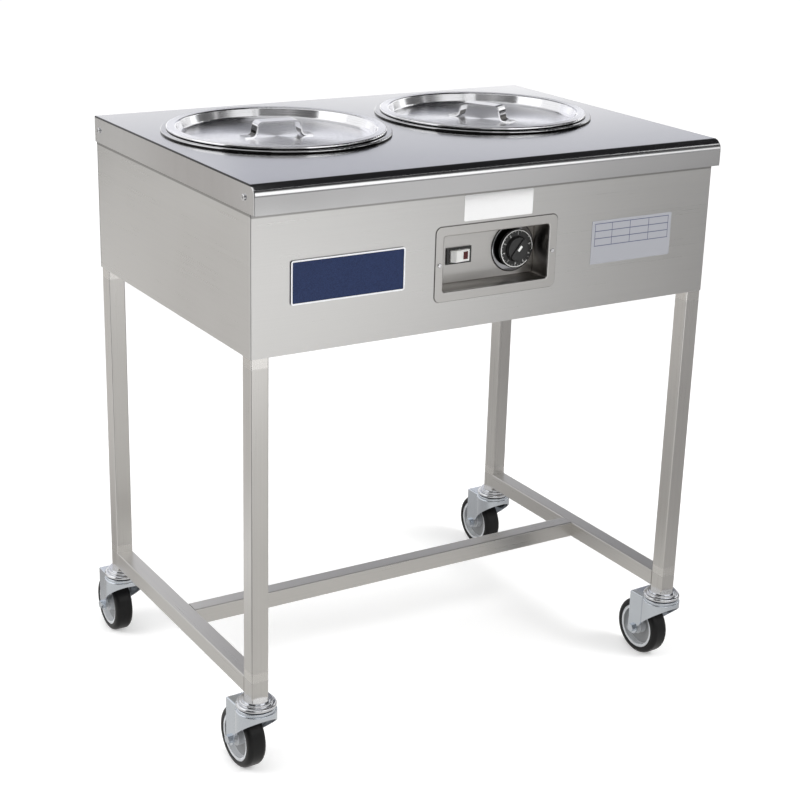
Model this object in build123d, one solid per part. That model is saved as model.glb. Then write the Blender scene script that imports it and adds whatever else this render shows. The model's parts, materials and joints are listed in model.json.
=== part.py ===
"""Hot icing station: a stainless steel water-bath cabinet with two round inset pots, on casters.

Millimetres.  +X is to the right of a person at the controls, +Y is away from them, +Z is up.
The origin lies on the floor, in the middle of the ground that the station takes up.
"""
import os
from math import sqrt

from build123d import *

# How far a cutting shape runs past the face it cuts
overrun = 1.0

# Inset pots and their lids
pot_bore = 325.0
pot_wall = 1.0
pot_depth = 181.5
pot_corner_radius = 18.0
pot_flange_width = 21.0
pot_flange_height = 4.5
lid_inset = 9.0
lid_sheet = 1.0
lid_rim_height = 4.5
lid_well_depth = 17.0
lid_wall_taper = 6.0
lid_plug_gap = 1.5
lid_foot_round = 6.0
lid_shoulder_round = 3.0
rim_curl_width = 5.0
rim_curl_radius = 1.8

# Strap handle of a lid, and how far each lid is turned on its pot
handle_span = 80.0
handle_top_span = 70.0
handle_height = 26.0
handle_foot = 18.0
handle_bend = 8.0
strap_width = 24.0
strap = 2.5
lid_turn_left = -6.0
lid_turn_right = -61.0

# Wells in the deck and the water tank under them
well_gap = 3.0
well_bridge = 60.7
tank_margin = 4.0
tank_sheet = 1.2
tank_flange = 10.0
tank_corner_radius = 25.0
water_below_pot = 22.0

# Cabinet, as the room left around the tank
sheet = 1.2
sheet_gap = 0.4
bend_radius = 2.5
room_left = 40.1
room_right = 56.4
room_front = 160.0
room_rear = 59.2
room_below = 54.0
rear_flange = 45.0
pan_drop = 4.0
pan_flange = 14.0

# Deck
deck_sheet = 1.5
deck_lip = 42.0
deck_overhang = 16.0
bullnose_radius = 16.0
deck_edge_radius = 2.0

# Legs and stretchers, square tube
leg_tube = 28.6
leg_wall = 1.6
tube_radius = 2.0
leg_length = 553.7
stretcher_rise = 4.5
socket_length = 40.0
socket_gap = 0.1

# Casters
wheel_diameter = 101.6
wheel_width = 31.75
tyre_thickness = 11.4
tyre_edge_radius = 8.0
hub_rim_depth = 5.0
hub_rim_inset = 1.5
hub_web = 8.0
hub_boss_radius = 14.0
hub_spacer_radius = 7.0
caster_trail = 42.5
fork_plate = 2.5
fork_side_gap = 5.6
fork_rear = 11.6
fork_head_radius = 33.0
fork_crease_radius = 8.0
fork_skirt = 7.0
fork_eye_rise = 6.0
fork_arch_y = -3.5
fork_arch_drop = 31.8
crown_gap = 16.3
race_height = 4.0
race_round = 1.6
race_gap = 2.9
race_cap_height = 5.4
race_cap_round = 4.2
race_step_height = 4.0
race_step_round = 1.7
collar_height = 2.8
collar_margin = 2.5
race_step_margin = 4.0
race_overlap = 2.0
kingpin_radius = 7.0
kingpin_head_radius = 10.0
kingpin_head = 3.0
stem_radius = 5.5
axle_radius = 4.0
axle_head = 5.5
axle_head_radius = 7.5
running_gap = 0.05
thrust_gap = 0.3
caster_turn = {"front_left": 2.5, "front_right": 2.5, "rear_left": -0.6, "rear_right": 1.5}

# Recessed control pan
control_width = 193.0
control_opening = 86.5
control_depth = 40.0
control_drop = 152.0
control_bezel = 15.0
control_bezel_radius = 10.0
control_corner_radius = 4.0
control_sheet = 1.0
control_bend = 2.0
control_edge_radius = 0.8
cutout_gap = 0.6

# Rocker switch
switch_from_end = 52.5
switch_bezel_width = 45.0
switch_bezel_height = 26.0
switch_bezel = 3.0
switch_edge_radius = 1.0
switch_body_depth = 28.0
switch_wall = 1.8
rocker_length = 33.6
rocker_height = 18.4
rocker_end_gap = 1.4
rocker_side_gap = 0.4
rocker_ridge = -9.0
rocker_left = 3.5
rocker_crest = 8.0
rocker_right = 4.5
rocker_root = 6.0
rocker_root_width = 16.0
rocker_cavity = 14.0
trunnion_radius = 1.5
trunnion_length = 1.4
lens_width = 9.0
lens_height = 12.0
lens_depth = 2.0
lens_edge = 3.0
lens_gap = 0.1

# Thermostat and its dial
dial_from_end = 40.5
dial_plate_radius = 39.5
dial_plate = 2.5
dial_plate_round = 2.0
dial_radius = 31.0
dial_disc = 4.0
dial_edge_radius = 1.0
dial_standoff = 9.0
dial_hub_radius = 12.0
grip_radius = 20.5
grip_height = 6.0
grip_taper = 2.0
grip_edge_radius = 1.2
pointer_bar_width = 9.0
pointer_bar_rise = 2.0
dial_lift = 2.0
dial_turn = 50.0
shaft_radius = 3.0
shaft_in_knob = 8.0
shaft_in_body = 10.0
bushing_radius = 6.0
bushing_reach = 3.5
hub_clear = 1.0
thermostat_width = 56.0
thermostat_height = 48.0
thermostat_length = 36.0
thermostat_edge = 3.0
capillary_radius = 1.2
capillary_bend = 14.0
bulb_radius = 4.0
bulb_length = 100.0
bulb_reach = 50.0
bulb_gap = 0.3
bulb_clip = 1.5
bulb_clip_width = 12.0

# Heating element clamped under the tank
element_radius = 4.0
element_pitch = 80.0
element_straight = 1.0
element_end_margin = 60.0
element_tail_inset = 20.0
element_gap = 0.3
clamp_bar_width = 20.0
clamp_bar = 3.0
clamp_stud_radius = 3.0
clamp_overrun = 24.0

# Wiring inside the right-hand and front rooms
block_length = 42.0
block_depth = 40.0
block_rise = 52.0
block_slot = 5.0
lead_radius = 3.0
lead_bend = 20.0
lead_clear = 13.0

# Cord gland on the rear panel
gland_bore = 9.0
gland_thread_radius = 8.0
gland_flange_radius = 13.0
gland_flange = 8.0
gland_dome_radius = 11.0
gland_dome = 14.0
gland_dome_round = 2.7
gland_nut = 5.0
gland_inside = 4.0
gland_margin = 12.0
gland_rise = 40.0
gland_gap = 0.1

# Plates on the front
name_plate_size = (190.0, 66.0, 2.0)
name_plate_radius = 4.0
rating_plate_size = (160.0, 70.0, 0.5)
notice_plate_size = (125.0, 40.0, 0.5)
film_radius = 2.0
plate_from_side = 158.0
plate_drop = 149.0
notice_drop = 69.0

# Screws
screw_radius = 2.4
screw_head_radius = 5.0
screw_head = 2.6
screw_head_round = 1.5
screw_length = 9.0
screw_gap = 0.2
screw_slot = 1.1
screw_slot_length = 4.8
screw_slot_depth = 0.9
small_screw_scale = 0.7
rear_screw_rows = 3
rear_screw_margin = 30.0
rear_screw_inset = 36.0

# Places and sizes that follow from the values above
pot_radius = pot_bore / 2 + pot_wall
flange_radius = pot_radius + pot_flange_width
lid_radius = flange_radius - lid_inset
lid_wall_radius = pot_bore / 2 - lid_plug_gap
well_radius = pot_radius + well_gap
well_spacing = 2 * well_radius + well_bridge
tank_half = well_radius + tank_margin
tank_length = 2 * tank_half + well_spacing
cabinet_width = 2 * (sheet + tank_sheet) + room_left + room_right + tank_length
cabinet_depth = 2 * (sheet + tank_sheet + tank_half) + room_front + room_rear
cabinet_height = pot_depth + pot_wall - pot_flange_height + water_below_pot + tank_sheet + room_below

wheel_radius = wheel_diameter / 2
crown_bottom = wheel_diameter + crown_gap
crown_top = crown_bottom + fork_plate
race_top = crown_top + race_height
cap_bottom = race_top + race_gap
cap_top = cap_bottom + race_cap_height
step_top = cap_top + race_step_height
leg_bottom = step_top + collar_height
cabinet_bottom = leg_bottom + leg_length
deck_top = cabinet_bottom + cabinet_height
deck_under = deck_top - deck_sheet

leg_inset = sheet + leg_tube / 2
rear_reach = caster_trail + wheel_radius - leg_inset
front_y = deck_overhang - (deck_overhang + cabinet_depth + rear_reach) / 2
rear_y = front_y + cabinet_depth
half_width = cabinet_width / 2
leg_x = half_width - leg_inset
leg_front_y = front_y + leg_inset
leg_rear_y = rear_y - leg_inset - sheet
well_y = front_y + sheet + room_front + tank_sheet + tank_half
well_left_x = -half_width + sheet + room_left + tank_sheet + tank_half
well_right_x = well_left_x + well_spacing
tank_floor = deck_top + pot_flange_height - pot_depth - pot_wall - water_below_pot
tank_bottom = tank_floor - tank_sheet
pan_floor = cabinet_bottom + pan_drop

control_z = deck_top - control_drop
control_y = front_y + control_depth
switch_offset = switch_from_end - control_width / 2
dial_offset = control_width / 2 - dial_from_end
switch_half_length = rocker_length / 2 + rocker_end_gap
switch_half_height = rocker_height / 2 + rocker_side_gap
switch_body_length = 2 * (switch_half_length + switch_wall)
switch_body_height = 2 * (switch_half_height + switch_wall + trunnion_length - rocker_side_gap)
rocker_pivot_y = control_y - switch_bezel / 2
dial_z = control_z + dial_lift
shaft_top = dial_standoff + shaft_in_knob
thermostat_front = control_y + control_sheet
thermostat_back = thermostat_front + thermostat_length
tank_front_y = well_y - tank_half - tank_sheet
bulb_y = tank_front_y - bulb_gap - bulb_radius
bulb_z = dial_z - thermostat_height / 4
bulb_start = dial_offset - bulb_reach
block_x = half_width - sheet - leg_tube - block_length / 2
block_near = block_x - block_length / 4
block_far = block_x + block_length / 4
lead_y = thermostat_back + lead_clear
element_z = tank_bottom - element_gap - element_radius
gland_x = half_width - rear_flange - gland_flange_radius - gland_margin
gland_z = cabinet_bottom + gland_rise
deck_screw_z = deck_top - deck_lip / 2
corners = {
    "front_left": (-leg_x, leg_front_y),
    "front_right": (leg_x, leg_front_y),
    "rear_left": (-leg_x, leg_rear_y),
    "rear_right": (leg_x, leg_rear_y),
}


def block(x0, x1, y0, y1, z0, z1):
    """A box between two corners."""
    middle = Pos((x0 + x1) / 2, (y0 + y1) / 2, (z0 + z1) / 2)
    return middle * Box(abs(x1 - x0), abs(y1 - y0), abs(z1 - z0))


def rod(radius, bottom, top):
    """An upright cylinder on the Z axis."""
    return Pos(0, 0, bottom) * Cylinder(radius, top - bottom, align=(Align.CENTER, Align.CENTER, Align.MIN))


def ring(outer, inner, bottom, top):
    """An upright ring on the Z axis."""
    return rod(outer, bottom, top) - rod(inner, bottom, top)


def turned(*edges):
    """The closed outline of edges in the XZ plane, turned about the Z axis."""
    outline = make_face(Curve() + list(edges))
    return revolve(Plane.XZ * outline, Axis.Z)


def bar(points, radius, bend):
    """A round bar along straight runs joined by arcs."""
    path = FilletPolyline(*points, radius=bend) if len(points) > 2 else Line(*points)
    start = Plane(origin=path @ 0, z_dir=path % 0)
    return sweep(start * Circle(radius), path=path)


def plate_on_front(size, x, z, radius):
    """A flat plate with rounded corners, lying on the front of the cabinet."""
    width, height, thickness = size
    face = Plane((x, front_y, z), x_dir=(1, 0, 0), z_dir=(0, -1, 0))
    return extrude(face * RectangleRounded(width, height, radius), thickness)


def facing(x, y, z, outward):
    """A place at a point, with its own Z axis pointing outward."""
    return Plane((x, y, z), z_dir=outward).location


def screw(share=1.0):
    """A pan-head screw with a cross recess; its head sits on Z = 0 and its shank points down."""
    head = rod(screw_head_radius, 0, screw_head)
    head = fillet(head.edges().group_by(Axis.Z)[-1], screw_head_round)
    for length, width in ((screw_slot_length, screw_slot), (screw_slot, screw_slot_length)):
        head -= Pos(0, 0, screw_head) * Box(length, width, 2 * screw_slot_depth)
    return scale(head + rod(screw_radius, -screw_length, 0), by=share)


def deck_screw_places():
    """The places of the screws that hold the deck to the legs, two on each side."""
    reach = half_width + sheet_gap + deck_sheet
    return [
        facing(side * reach, y, deck_screw_z, (side, 0, 0))
        for side in (-1, 1)
        for y in (leg_front_y, leg_rear_y)
    ]


def rear_screw_places():
    """The places of the screws that hold the rear panel, in a column at each side."""
    low = cabinet_bottom + rear_screw_margin
    high = deck_top - deck_lip - rear_screw_margin
    step = (high - low) / (rear_screw_rows - 1)
    return [
        facing(side * (half_width - rear_screw_inset), rear_y, low + row * step, (0, 1, 0))
        for side in (-1, 1)
        for row in range(rear_screw_rows)
    ]


def control_screw_places():
    """The places of the two screws in the middle of the control pan's side bezels."""
    reach = (control_width + control_bezel) / 2
    return [facing(side * reach, front_y - control_sheet, control_z, (0, -1, 0)) for side in (-1, 1)]


def screw_holes(places, share=1.0):
    """Holes that clear the shanks of screws at the given places."""
    hole = rod(screw_radius * share + screw_gap, -screw_length * share - overrun, overrun)
    return [place * hole for place in places]


def top_deck():
    """The deck: a rolled front edge with a return under it, turned-down sides and back, two wells."""
    outer_half = half_width + sheet_gap + deck_sheet
    outer_front = front_y - deck_overhang
    outer_rear = rear_y + sheet_gap + deck_sheet
    lip_bottom = deck_top - deck_lip

    def side_outline(inset, bottom):
        front = outer_front + inset
        top = deck_top - inset
        nose = bullnose_radius - inset
        edges = [
            Line((front, bottom), (front, top - nose)),
            RadiusArc((front, top - nose), (front + nose, top), nose),
            Line((front + nose, top), (outer_rear - inset, top)),
            Line((outer_rear - inset, top), (outer_rear - inset, bottom)),
            Line((outer_rear - inset, bottom), (front, bottom)),
        ]
        return Plane.YZ * make_face(Curve() + edges)

    deck = extrude(side_outline(0, lip_bottom), outer_half, both=True)
    ends = deck.edges().group_by(Axis.X)
    low, back = lip_bottom + deck_sheet, outer_rear - deck_sheet
    bent = [e for e in ends[0] + ends[-1] if e.center().Z > low and e.center().Y < back]
    deck = fillet(bent, deck_edge_radius)
    inner_half = half_width + sheet_gap
    deck -= extrude(side_outline(deck_sheet, low), inner_half, both=True)
    deck -= block(
        -inner_half, inner_half,
        front_y - sheet_gap, rear_y + sheet_gap,
        lip_bottom - overrun, low + overrun,
    )
    for x in (well_left_x, well_right_x):
        deck -= Pos(x, well_y, 0) * rod(well_radius, deck_under - overrun, deck_top + overrun)
    return deck - screw_holes(deck_screw_places())


def cabinet_wrapper():
    """Front and two sides folded from one sheet, with a turned-in flange at each rear edge."""
    top = deck_under
    back = rear_y - sheet
    outline = Pos(0, (front_y + back) / 2) * Rectangle(cabinet_width, back - front_y)
    outline = fillet(outline.vertices(), bend_radius)
    hollow = Pos(0, (front_y + back) / 2) * Rectangle(cabinet_width - 2 * sheet, back - front_y - 2 * sheet)
    hollow = fillet(hollow.vertices(), bend_radius - sheet)
    open_half = half_width - rear_flange
    gap = Pos(0, back) * Rectangle(2 * open_half, 2 * (sheet + overrun))
    shell = extrude(Plane.XY.offset(cabinet_bottom) * (outline - hollow - gap), top - cabinet_bottom)
    opening = Plane((0, front_y, control_z), x_dir=(1, 0, 0), z_dir=(0, -1, 0))
    cut_width = control_width + 2 * (control_sheet + cutout_gap)
    cut_height = control_opening + 2 * (control_sheet + cutout_gap)
    cut_radius = control_corner_radius + control_sheet + cutout_gap
    cut = opening * RectangleRounded(cut_width, cut_height, cut_radius)
    shell -= extrude(cut, sheet + overrun, both=True)
    shell -= screw_holes(deck_screw_places())
    shell -= screw_holes(rear_screw_places())
    return shell - screw_holes(control_screw_places(), small_screw_scale)


def gland_hole():
    """The round hole in the rear panel that the cord gland's thread passes through."""
    place = facing(gland_x, rear_y, gland_z, (0, 1, 0))
    return place * rod(gland_thread_radius + gland_gap, -sheet - overrun, overrun)


def rear_panel():
    """The flat sheet that closes the back, lying on the wrapper's flanges."""
    panel = block(-half_width, half_width, rear_y - sheet, rear_y, cabinet_bottom, deck_under)
    panel -= screw_holes(rear_screw_places())
    return panel - gland_hole()


def bottom_pan():
    """The sheet that closes the bottom, cut away at the legs, with its edges turned up."""
    x = half_width - sheet
    y0 = front_y + sheet
    y1 = rear_y - 2 * sheet
    top = pan_floor + pan_flange
    pan = block(-x, x, y0, y1, pan_floor, top)
    pan -= block(-x + sheet, x - sheet, y0 + sheet, y1 - sheet, pan_floor + sheet, top + overrun)
    notch = leg_tube + 2 * sheet_gap
    for place in corners.values():
        pan -= Pos(*place, pan_floor) * Box(notch, notch, 2 * (pan_flange + overrun))
    return pan


def water_tank():
    """An open tank with rounded corners and a flange that is welded under the deck."""
    middle = (well_left_x + well_right_x) / 2
    length = tank_length + 2 * tank_sheet
    depth = 2 * (tank_half + tank_sheet)
    corner = tank_corner_radius

    def slab(grow, radius, bottom, top):
        outline = Pos(middle, well_y) * RectangleRounded(length + 2 * grow, depth + 2 * grow, radius)
        return extrude(Plane.XY.offset(bottom) * outline, top - bottom)

    tank = slab(0, corner, tank_bottom, deck_under)
    tank += slab(tank_flange, corner, deck_under - tank_sheet, deck_under)
    return tank - slab(-tank_sheet, corner - tank_sheet, tank_floor, deck_under + overrun)


def inset_pot(x):
    """A round pot hanging in its well by a flange with a curled edge."""
    seat = deck_top
    top = seat + pot_flange_height
    bore = pot_bore / 2
    floor = top - pot_depth
    corner = pot_corner_radius
    outer_corner = corner + pot_wall
    curl = flange_radius - rim_curl_width
    rim = flange_radius - rim_curl_radius
    rim_top = top - rim_curl_radius
    rim_low = seat + rim_curl_radius
    edges = [
        Line((0, floor), (bore - corner, floor)),
        RadiusArc((bore - corner, floor), (bore, floor + corner), -corner),
        Line((bore, floor + corner), (bore, top)),
        Line((bore, top), (rim, top)),
        RadiusArc((rim, top), (flange_radius, rim_top), rim_curl_radius),
        Line((flange_radius, rim_top), (flange_radius, rim_low)),
        RadiusArc((flange_radius, rim_low), (rim, seat), rim_curl_radius),
        Line((rim, seat), (curl, seat)),
        Line((curl, seat), (curl, top - pot_wall)),
        Line((curl, top - pot_wall), (pot_radius, top - pot_wall)),
        Line((pot_radius, top - pot_wall), (pot_radius, floor + corner)),
        RadiusArc((pot_radius, floor + corner), (bore - corner, floor - pot_wall), outer_corner),
        Line((bore - corner, floor - pot_wall), (0, floor - pot_wall)),
        Line((0, floor - pot_wall), (0, floor)),
    ]
    return Pos(x, well_y, 0) * turned(*edges)


def lid_levels():
    """The heights of a lid's seat, rim top and sunk floor."""
    seat = deck_top + pot_flange_height
    top = seat + lid_rim_height
    return seat, top, top - lid_well_depth


def pot_lid(x):
    """A lid with a curled rim and a sunk middle that plugs the pot's mouth."""
    seat, top, floor = lid_levels()
    wall = lid_wall_radius
    foot = wall - lid_wall_taper
    curl = lid_radius - rim_curl_width
    rim = lid_radius - rim_curl_radius
    rim_top = top - rim_curl_radius
    rim_low = seat + rim_curl_radius
    half_way = ((foot + wall) / 2 - lid_sheet, (floor + top) / 2)
    half_way_below = ((foot + wall) / 2, (floor + top) / 2 - lid_sheet)
    edges = [
        FilletPolyline((0, floor), (foot - lid_sheet, floor), half_way, radius=lid_foot_round),
        FilletPolyline(half_way, (wall - lid_sheet, top), (rim, top), radius=lid_shoulder_round),
        RadiusArc((rim, top), (lid_radius, rim_top), rim_curl_radius),
        Line((lid_radius, rim_top), (lid_radius, rim_low)),
        RadiusArc((lid_radius, rim_low), (rim, seat), rim_curl_radius),
        Line((rim, seat), (curl, seat)),
        Line((curl, seat), (curl, top - lid_sheet)),
        FilletPolyline(
            (curl, top - lid_sheet),
            (wall, top - lid_sheet),
            half_way_below,
            radius=lid_shoulder_round - lid_sheet,
        ),
        FilletPolyline(
            half_way_below,
            (foot, floor - lid_sheet),
            (0, floor - lid_sheet),
            radius=lid_foot_round + lid_sheet,
        ),
        Line((0, floor - lid_sheet), (0, floor)),
    ]
    return Pos(x, well_y, 0) * turned(*edges)


def lid_handle(x, turn):
    """A strap bent to a flat-topped arch, with a foot welded to the lid at each end."""
    floor = lid_levels()[2]
    middle = strap / 2
    foot_end = handle_span / 2 + handle_foot
    high = handle_height - middle
    points = [
        (-foot_end, middle),
        (-handle_span / 2, middle),
        (-handle_top_span / 2, high),
        (handle_top_span / 2, high),
        (handle_span / 2, middle),
        (foot_end, middle),
    ]
    line = Plane.XZ * FilletPolyline(*points, radius=handle_bend)
    section = Plane(origin=line @ 0, x_dir=(0, 1, 0), z_dir=(1, 0, 0)) * Rectangle(strap_width, strap)
    return Pos(x, well_y, floor) * Rot(0, 0, turn) * sweep(section, path=line)


def control_pan():
    """A pressed pan behind the front, with a bezel that lies on the front sheet."""
    face = Plane((0, front_y, control_z), x_dir=(1, 0, 0), z_dir=(0, -1, 0))
    bezel_width = control_width + 2 * control_bezel
    bezel_height = control_opening + 2 * control_bezel
    bezel = extrude(face * RectangleRounded(bezel_width, bezel_height, control_bezel_radius), control_sheet)
    bezel = fillet(bezel.edges().group_by(Axis.Y)[0], control_edge_radius)
    outer = RectangleRounded(
        control_width + 2 * control_sheet,
        control_opening + 2 * control_sheet,
        control_corner_radius + control_sheet,
    )
    inner = RectangleRounded(control_width, control_opening, control_corner_radius)
    pan = bezel + extrude(face * outer, -control_depth - control_sheet)
    pan -= extrude(face.offset(-control_depth) * inner, control_depth + 2 * control_sheet)
    mouth = [e for e in pan.edges().group_by(Axis.Y)[0] if abs(e.center().X) < control_width / 2 + overrun]
    mouth = [e for e in mouth if abs(e.center().Z - control_z) < control_opening / 2 + overrun]
    pan = fillet(mouth, control_bend)
    pan -= block(
        switch_offset - switch_body_length / 2 - cutout_gap,
        switch_offset + switch_body_length / 2 + cutout_gap,
        control_y - overrun,
        control_y + control_sheet + overrun,
        control_z - switch_body_height / 2 - cutout_gap,
        control_z + switch_body_height / 2 + cutout_gap,
    )
    pan -= at_dial(rod(bushing_radius + screw_gap, -control_sheet - overrun, overrun))
    return pan - screw_holes(control_screw_places(), small_screw_scale)


def at_dial(shape):
    """A shape on the dial's axis; its Z = 0 is the floor of the control pan, and +Z comes forward."""
    return Plane((dial_offset, control_y, dial_z), x_dir=(1, 0, 0), z_dir=(0, -1, 0)).location * shape


def switch_body():
    """The switch's housing: a bezel in the pan, and a body behind it, open for the rocker."""
    back = control_y + switch_body_depth

    def around_switch(length, height, y0, y1):
        return block(
            switch_offset - length / 2, switch_offset + length / 2, y0, y1,
            control_z - height / 2, control_z + height / 2,
        )

    housing = around_switch(switch_bezel_width, switch_bezel_height, control_y - switch_bezel, control_y)
    housing = fillet(housing.edges().group_by(Axis.Y)[0], switch_edge_radius)
    housing += around_switch(switch_body_length, switch_body_height, control_y, back)
    housing -= around_switch(
        2 * switch_half_length, 2 * switch_half_height,
        control_y - switch_bezel - overrun, control_y + rocker_cavity,
    )
    return housing - rocker_trunnions(running_gap, 2 * running_gap)


def rocker_trunnions(radial_gap, end_gap):
    """The pin line that the rocker turns on."""
    reach = rocker_height / 2 + trunnion_length + end_gap
    return Pos(switch_offset, rocker_pivot_y, control_z) * rod(trunnion_radius + radial_gap, -reach, reach)


def rocker_blank():
    """The rocker before its lens pocket is cut."""
    half = rocker_length / 2
    points = [
        (-half, -rocker_left),
        (rocker_ridge, -rocker_crest),
        (half, -rocker_right),
        (half, 0),
        (rocker_root_width / 2, rocker_root),
        (-rocker_root_width / 2, rocker_root),
        (-half, 0),
    ]
    outline = make_face(Polyline(*points, close=True))
    body = extrude(outline, rocker_height / 2, both=True)
    return Pos(switch_offset, rocker_pivot_y, control_z) * body


def lens_room(gap):
    """The box that the lens takes up at the right-hand end of the rocker's face."""
    right = switch_offset + rocker_length / 2 - lens_edge
    slope = (rocker_crest - rocker_right) / (rocker_length / 2 - rocker_ridge)
    floor = rocker_pivot_y - rocker_right - lens_edge * slope + lens_depth
    return block(
        right - lens_width - gap, right + gap,
        floor, rocker_pivot_y - rocker_crest - overrun,
        control_z - lens_height / 2 - gap, control_z + lens_height / 2 + gap,
    )


def switch_rocker():
    """The rocker: a short left face and a long right face, on two trunnions."""
    return rocker_blank() + rocker_trunnions(0, 0) - lens_room(lens_gap)


def switch_lens():
    """The red lens, flush with the rocker's face."""
    return rocker_blank() & lens_room(0)


def thermostat_body():
    """The thermostat's case behind the pan, with the bushing that its shaft turns in."""
    case = block(
        dial_offset - thermostat_width / 2, dial_offset + thermostat_width / 2,
        thermostat_front, thermostat_back,
        dial_z - thermostat_height / 2, dial_z + thermostat_height / 2,
    )
    case = fillet(case.edges().filter_by(Axis.Y), thermostat_edge)
    case += at_dial(rod(bushing_radius, -control_sheet - overrun, bushing_reach))
    reach = control_sheet + shaft_in_body
    return case - at_dial(rod(shaft_radius + running_gap, -reach - thrust_gap, bushing_reach + overrun))


def thermostat_shaft():
    """The shaft from inside the thermostat's case to the dial."""
    return at_dial(rod(shaft_radius, -control_sheet - shaft_in_body, shaft_top))


def dial_ring():
    """The chrome plate round the dial's shaft, with a domed edge."""
    plate = ring(dial_plate_radius, bushing_radius + screw_gap, 0, dial_plate)
    plate = fillet(plate.edges().group_by(Axis.Z)[-1].sort_by(SortBy.LENGTH)[-1], dial_plate_round)
    return at_dial(plate)


def dial_knob():
    """The dial disc with its hub behind, and a tapered grip with a bar across it in front."""
    disc_top = dial_standoff + dial_disc
    grip_top = disc_top + grip_height
    disc = rod(dial_radius, dial_standoff, disc_top)
    disc = fillet(disc.edges().group_by(Axis.Z)[-1], dial_edge_radius)
    hub_back = bushing_reach + hub_clear
    hub = rod(dial_hub_radius, hub_back, dial_standoff)
    grip = Pos(0, 0, disc_top + grip_height / 2) * Cone(grip_radius, grip_radius - grip_taper, grip_height)
    grip = fillet(grip.edges().group_by(Axis.Z)[-1], grip_edge_radius)
    bar_outline = SlotOverall(2 * (grip_radius - grip_taper), pointer_bar_width)
    pointer = extrude(Plane.XY.offset(grip_top) * bar_outline, pointer_bar_rise)
    knob = disc + hub + grip + Rot(0, 0, dial_turn) * pointer
    return at_dial(knob - rod(shaft_radius + running_gap, hub_back - overrun, shaft_top + running_gap))


def thermostat_bulb():
    """The sensing bulb along the tank's front, and the capillary tube that feeds it."""
    tube = [
        (dial_offset, thermostat_back, bulb_z),
        (dial_offset, bulb_y, bulb_z),
        (bulb_start, bulb_y, bulb_z),
    ]
    bulb = facing(bulb_start, bulb_y, bulb_z, (-1, 0, 0)) * rod(bulb_radius, 0, bulb_length)
    return bar(tube, capillary_radius, capillary_bend) + bulb


def bulb_clips():
    """Two saddle clips that hold the bulb against the tank's front wall."""
    hold = bulb_radius + bulb_gap
    clips = []
    for x in (bulb_start - bulb_length / 4, bulb_start - 3 * bulb_length / 4):
        side = bulb_clip_width / 2
        outside = hold + bulb_clip
        clip = block(x - side, x + side, bulb_y - outside, tank_front_y, bulb_z - outside, bulb_z + outside)
        side += overrun
        clip -= block(x - side, x + side, bulb_y - hold, tank_front_y, bulb_z - hold, bulb_z + hold)
        clips.append(clip)
    return Compound(children=clips)


def element_rows():
    """The Y places of the heating element's straight runs."""
    return [well_y + share * element_pitch for share in (-1.5, -0.5, 0.5, 1.5)]


def element_ends():
    """The X places of the element's left bends, right bends and tails."""
    left = well_left_x - tank_half + element_end_margin
    right = well_right_x + tank_half - element_end_margin
    return left, right, well_right_x + tank_half + tank_sheet - element_tail_inset


def heating_element():
    """A tubular element in four runs under the tank, with both tails out to the right."""
    y = element_rows()
    left, right, tail = element_ends()
    bend = (element_pitch - element_straight) / 2
    points = [
        (tail, y[0]), (left, y[0]), (left, y[1]), (right, y[1]),
        (right, y[2]), (left, y[2]), (left, y[3]), (tail, y[3]),
    ]
    return bar([(px, py, element_z) for px, py in points], element_radius, bend)


def element_clamps():
    """Two bars under the element, each hung from the tank by a stud at its ends."""
    y = element_rows()
    top = element_z - element_radius - element_gap
    low_y = y[0] - clamp_overrun
    high_y = y[-1] + clamp_overrun
    clamps = []
    for x in (well_left_x, well_right_x):
        clamp = block(x - clamp_bar_width / 2, x + clamp_bar_width / 2, low_y, high_y, top - clamp_bar, top)
        for stud_y in (low_y + clamp_overrun / 2, high_y - clamp_overrun / 2):
            clamp += Pos(x, stud_y, 0) * rod(clamp_stud_radius, top, tank_bottom)
        clamps.append(clamp)
    return Compound(children=clamps)


def terminal_block():
    """The terminal block on the bottom pan, with a slot between its two terminals."""
    floor = pan_floor + sheet
    top = floor + block_rise
    front, back = lead_y - block_depth / 2, lead_y + block_depth / 2
    body = block(block_x - block_length / 2, block_x + block_length / 2, front, back, floor, top)
    return body - block(
        block_x - block_slot / 2, block_x + block_slot / 2,
        front - overrun, back + overrun,
        top - block_slot, top + overrun,
    )


def control_routes():
    """The ways of the leads from the switch and from the thermostat down to the terminal block."""
    top = pan_floor + sheet + block_rise
    switch_back = control_y + switch_body_depth
    thermostat_right = dial_offset + thermostat_width / 2
    thermostat_y = thermostat_back - 2 * lead_radius
    from_switch = [
        (switch_offset, switch_back, control_z), (switch_offset, lead_y, control_z),
        (block_near, lead_y, control_z), (block_near, lead_y, top),
    ]
    from_thermostat = [
        (thermostat_right, thermostat_y, control_z),
        (block_far, thermostat_y, control_z), (block_far, thermostat_y, top),
    ]
    return [from_switch, from_thermostat]


def element_routes():
    """The ways of the leads from the element's two tails to the back of the terminal block."""
    rows = element_rows()
    tail = element_ends()[2]
    back = lead_y + block_depth / 2
    return [
        [(tail, y, element_z), (x, y, element_z), (x, back, element_z)]
        for x, y in ((block_near, rows[0]), (block_far, rows[-1]))
    ]


def wiring_leads():
    """All the leads inside the cabinet, each held at both its ends."""
    short_bend = block_near - element_ends()[2] - 2 * lead_radius
    leads = [bar(route, lead_radius, lead_bend) for route in control_routes()]
    leads += [bar(route, lead_radius, short_bend) for route in element_routes()]
    return Compound(children=leads)


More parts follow.
